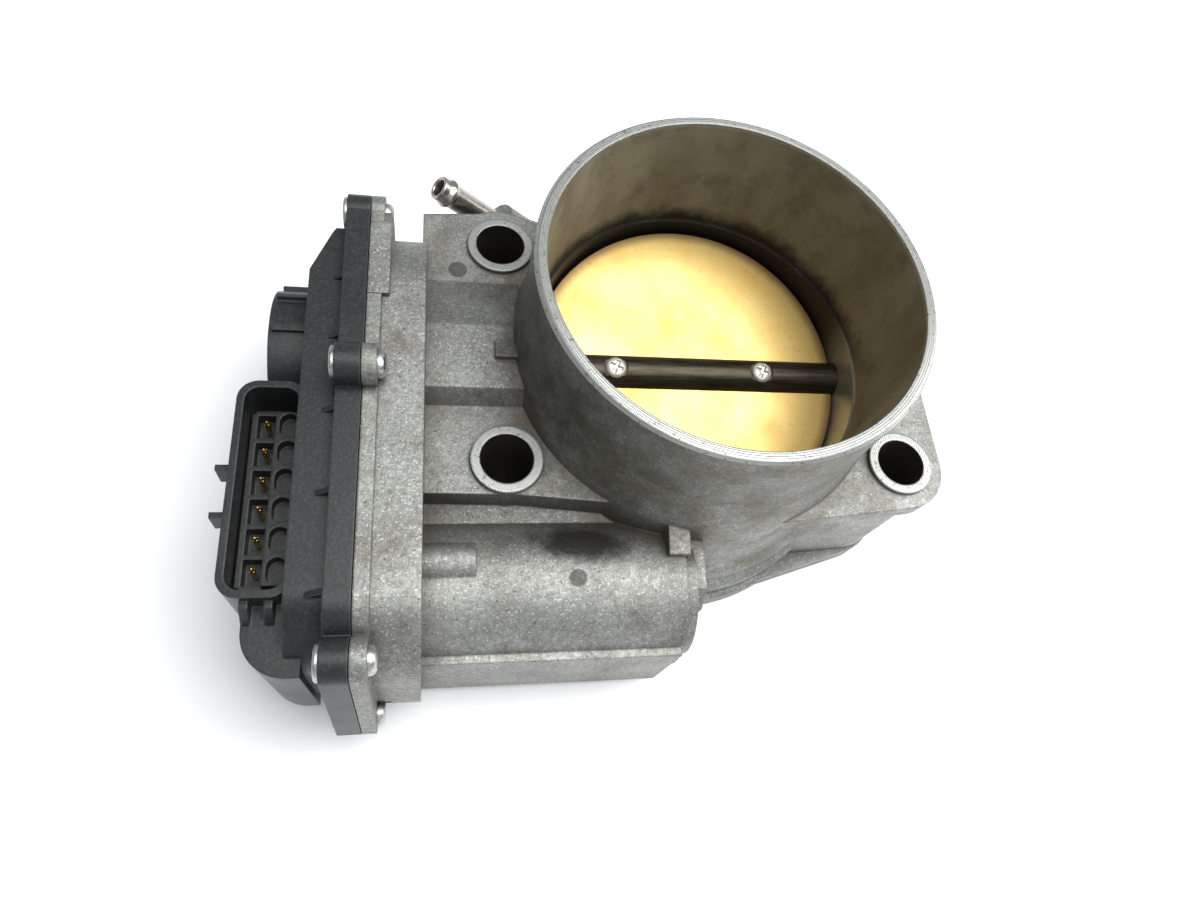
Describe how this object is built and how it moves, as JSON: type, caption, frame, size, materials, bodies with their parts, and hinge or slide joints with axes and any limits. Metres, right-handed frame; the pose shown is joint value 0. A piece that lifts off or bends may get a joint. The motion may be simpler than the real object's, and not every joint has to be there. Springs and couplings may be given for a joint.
{
  "type": "electronic throttle body",
  "caption": "Large-bore electronic throttle body: cast housing with round inlet and bolted manifold flange, tilting plate on a shaft, geared motor under a plastic side cover.",
  "frame": {"origin": "centre of the bore on the manifold face", "axes": "+Z out of the air inlet along the bore, +X along the throttle shaft away from the gear case, -Y towards the motor"},
  "size_m": [0.1657, 0.1352, 0.077],
  "materials": {
    "bearing_steel": "ground",
    "black_plastic": "moulded, fine grain",
    "black_steel": "black oxide",
    "cage_brass": "sintered",
    "cast_aluminium": "as-cast, machined seats",
    "copper_wire": "enamelled",
    "gear_plastic": "moulded nylon",
    "gold_terminal": "plated",
    "laminated_steel": "laminated",
    "magnet_black": "pressed ferrite",
    "pinion_brass": "hobbed",
    "rivet_steel": "zinc plated",
    "seal_rubber": "moulded",
    "sensor_epoxy": "moulded",
    "spring_steel": "drawn wire",
    "tinned_brass": "tinned",
    "yellow_brass_plate": "rolled, varnish tinted",
    "zinc_can": "zinc plated, drawn",
    "zinc_pipe": "yellow passivated zinc",
    "zinc_screw": "bright zinc"
  },
  "bodies": {
    "housing": {"bearing_outer_ring": "bearing_steel", "brush_holder": "black_plastic", "closed_stop_screw": "zinc_screw", "connector_terminals": "gold_terminal", "cover_gasket": "seal_rubber", "cover_rivets": "rivet_steel", "far_shaft_bush": "bearing_steel", "far_shaft_seal": "seal_rubber", "gear_cover": "black_plastic", "hall_sensor": "sensor_epoxy", "hose_nipple": "zinc_pipe", "intermediate_gear_pin": "bearing_steel", "motor_brushes": "magnet_black", "motor_can": "zinc_can", "motor_end_bracket": "zinc_can", "motor_front_bush": "cage_brass", "motor_magnets": "magnet_black", "motor_rear_bush": "cage_brass", "motor_screws": "zinc_screw", "motor_spring_washer": "spring_steel", "motor_supply_blades": "tinned_brass", "near_shaft_seal": "seal_rubber", "shaft_end_plug": "zinc_screw", "throttle_body_casting": "cast_aluminium"},
    "throttle": {"throttle_shaft": "black_steel", "throttle_plate": "yellow_brass_plate", "plate_screws": "zinc_screw", "bearing_inner_ring": "bearing_steel", "sector_gear": "gear_plastic", "gear_insert_plate": "rivet_steel", "sensor_yoke_ring": "rivet_steel", "sensor_magnets": "magnet_black", "return_spring": "spring_steel"},
    "bearing_cage_and_balls": {"bearing_cage": "cage_brass", "bearing_balls": "bearing_steel"},
    "idler": {"intermediate_gear": "gear_plastic"},
    "rotor": {"motor_pinion": "pinion_brass", "motor_shaft": "bearing_steel", "armature_core": "laminated_steel", "armature_windings": "copper_wire", "commutator": "copper_wire"}
  },
  "joints": [
    {"name": "throttle_spin", "type": "hinge", "parent": "housing", "child": "throttle", "pos_m": [0, 0, 0.033], "axis": [1, 0, 0], "range_deg": [-7, 78], "stiffness_Nm_per_rad": 0.15, "deforming": ["return_spring"]},
    {"name": "bearing_cage_spin", "type": "hinge", "parent": "housing", "child": "bearing_cage_and_balls", "pos_m": [-0.066, 0, 0.033], "axis": [1, 0, 0], "range_deg": [-3.79, 32.15]},
    {"name": "idler_spin", "type": "hinge", "parent": "housing", "child": "idler", "pos_m": [-0.08, -0.02989, 0.03041], "axis": [1, 0, 0], "range_deg": [-183, 17.33]},
    {"name": "motor_spin", "type": "hinge", "parent": "housing", "child": "rotor", "pos_m": [-0.04, -0.0541, 0.0237], "axis": [1, 0, 0], "range_deg": [-75.86, 835.17]}
  ],
  "couplings": [
    {"joint": "bearing_cage_spin", "follows": "throttle_spin", "ratio": 0.39931},
    {"joint": "idler_spin", "follows": "throttle_spin", "ratio": -2.3333},
    {"joint": "motor_spin", "follows": "throttle_spin", "ratio": 10.694}
  ]
}
